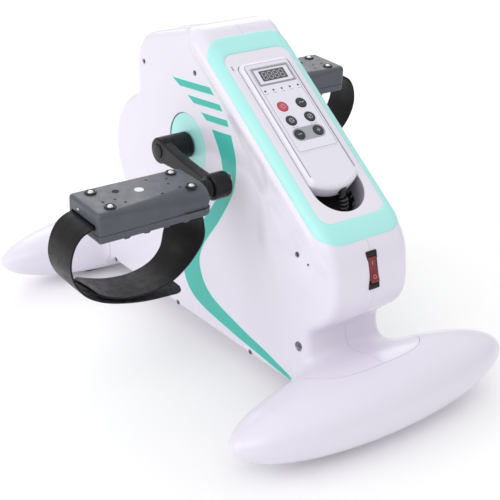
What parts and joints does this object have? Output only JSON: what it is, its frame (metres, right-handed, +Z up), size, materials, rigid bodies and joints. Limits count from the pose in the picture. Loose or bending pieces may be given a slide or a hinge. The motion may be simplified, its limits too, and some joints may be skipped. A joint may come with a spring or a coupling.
{
  "type": "motorised pedal exerciser",
  "caption": "Floor-standing pedal exerciser: a moulded body on rounded feet, opposed crank arms with strapped pedals, a power switch and a corded handset docked in a sloping console.",
  "frame": {"origin": "on the floor, under the middle of the machine", "axes": "+Z up, +Y from the user's side to the rear foot, +X to the user's right"},
  "size_m": [0.5526, 0.6314, 0.3955],
  "materials": {
    "mint_plastic": "glossy pale mint",
    "white_plastic": "glossy cool white",
    "dark_steel": "dull",
    "teal_print": "printed film",
    "pad_rubber": "matt",
    "frame_steel": "satin black",
    "bright_steel": "turned",
    "belt_rubber": "matt",
    "motor_case": "satin",
    "circuit_board": "green board",
    "aluminium_case": "brushed",
    "black_plastic": "fine grain",
    "cord_plastic": "satin",
    "black_enamel": "gloss",
    "red_rocker": "translucent red",
    "handset_plastic": "satin gloss",
    "overlay_film": "pale printed film",
    "display_window": "smoked window",
    "led_lens": "clear",
    "red_key": "satin",
    "grey_key": "satin",
    "pedal_plastic": "grained dark grey",
    "black_screw": "gloss black",
    "white_label": "paper",
    "bush_nylon": "nylon",
    "strap_rubber": "satin black"
  },
  "bodies": {
    "base": {"console_ring": "mint_plastic", "console_cradle": "white_plastic", "left_shell": "white_plastic", "right_shell": "white_plastic", "shell_screws": "dark_steel", "left_decal": "teal_print", "right_decal": "teal_print", "front_foot_cover": "white_plastic", "front_foot_base": "white_plastic", "rear_foot_cover": "white_plastic", "rear_foot_base": "white_plastic", "foot_pads": "pad_rubber", "base_frame": "frame_steel", "cross_tubes": "frame_steel", "crank_bearings": "bright_steel", "drive_belt": "belt_rubber", "drive_motor": "motor_case", "motor_bracket": "frame_steel", "control_board": "circuit_board", "power_supply": "aluminium_case", "power_inlet": "black_plastic", "switch_bezel": "black_plastic", "cord_socket": "black_plastic", "handset_cord": "cord_plastic"},
    "crank": {"crank_axle": "bright_steel", "drive_pulley": "black_plastic", "left_hub_disc": "mint_plastic", "right_hub_disc": "mint_plastic", "left_crank_arm": "black_enamel", "right_crank_arm": "black_enamel", "left_pedal_spindle": "black_enamel", "right_pedal_spindle": "black_enamel", "crank_bolts": "bright_steel"},
    "left_pedal": {"left_pedal_shell": "pedal_plastic", "left_pedal_tread": "pedal_plastic", "left_pedal_screws": "black_screw", "left_pedal_mark": "white_label", "left_pedal_bushes": "bush_nylon", "left_strap": "strap_rubber"},
    "right_pedal": {"right_pedal_shell": "pedal_plastic", "right_pedal_tread": "pedal_plastic", "right_pedal_screws": "black_screw", "right_pedal_mark": "white_label", "right_pedal_bushes": "bush_nylon", "right_strap": "strap_rubber"},
    "rocker": {"switch_rocker": "red_rocker"},
    "motor_rotor": {"motor_pulley": "bright_steel"},
    "handset": {"handset_back": "handset_plastic", "handset_front": "handset_plastic", "handset_overlay": "overlay_film", "display_lens": "display_window", "handset_board": "circuit_board", "indicator_leds": "led_lens", "strain_relief": "cord_plastic"},
    "key_power": {"key_power": "red_key"},
    "key_program": {"key_program": "grey_key"},
    "key_time": {"key_time": "grey_key"},
    "key_mode": {"key_mode": "grey_key"},
    "key_slower": {"key_slower": "grey_key"},
    "key_faster": {"key_faster": "grey_key"}
  },
  "joints": [
    {"name": "crank_spin", "type": "hinge", "parent": "base", "child": "crank", "pos_m": [0, 0.022, 0.2565], "axis": [1, 0, 0], "continuous": true},
    {"name": "left_pedal_spin", "type": "hinge", "parent": "crank", "child": "left_pedal", "pos_m": [-0.1775, -0.08034, 0.24484], "axis": [1, 0, 0], "continuous": true},
    {"name": "right_pedal_spin", "type": "hinge", "parent": "crank", "child": "right_pedal", "pos_m": [0.1775, 0.12434, 0.26816], "axis": [1, 0, 0], "continuous": true},
    {"name": "motor_spin", "type": "hinge", "parent": "base", "child": "motor_rotor", "pos_m": [0, -0.09, 0.12], "axis": [1, 0, 0], "continuous": true},
    {"name": "power_rocker", "type": "hinge", "parent": "base", "child": "rocker", "pos_m": [0, -0.24502, 0.18539], "axis": [1, 0, 0], "range_deg": [0, 14]},
    {"name": "handset_lift", "type": "slide", "parent": "base", "child": "handset", "axis": [0, -0.599, 0.8007], "range_m": [0, 0.1], "deforming": ["handset_cord"]},
    {"name": "key_power_press", "type": "slide", "parent": "handset", "child": "key_power", "axis": [0, 0.599, -0.8007], "range_m": [0, 0.0005], "stiffness_N_per_m": 400, "springref_m": -0.001},
    {"name": "key_program_press", "type": "slide", "parent": "handset", "child": "key_program", "axis": [0, 0.599, -0.8007], "range_m": [0, 0.0005], "stiffness_N_per_m": 400, "springref_m": -0.001},
    {"name": "key_time_press", "type": "slide", "parent": "handset", "child": "key_time", "axis": [0, 0.599, -0.8007], "range_m": [0, 0.0005], "stiffness_N_per_m": 400, "springref_m": -0.001},
    {"name": "key_mode_press", "type": "slide", "parent": "handset", "child": "key_mode", "axis": [0, 0.599, -0.8007], "range_m": [0, 0.0005], "stiffness_N_per_m": 400, "springref_m": -0.001},
    {"name": "key_slower_press", "type": "slide", "parent": "handset", "child": "key_slower", "axis": [0, 0.599, -0.8007], "range_m": [0, 0.0005], "stiffness_N_per_m": 400, "springref_m": -0.001},
    {"name": "key_faster_press", "type": "slide", "parent": "handset", "child": "key_faster", "axis": [0, 0.599, -0.8007], "range_m": [0, 0.0005], "stiffness_N_per_m": 400, "springref_m": -0.001}
  ],
  "couplings": [
    {"joint": "motor_spin", "follows": "crank_spin", "ratio": 5}
  ]
}
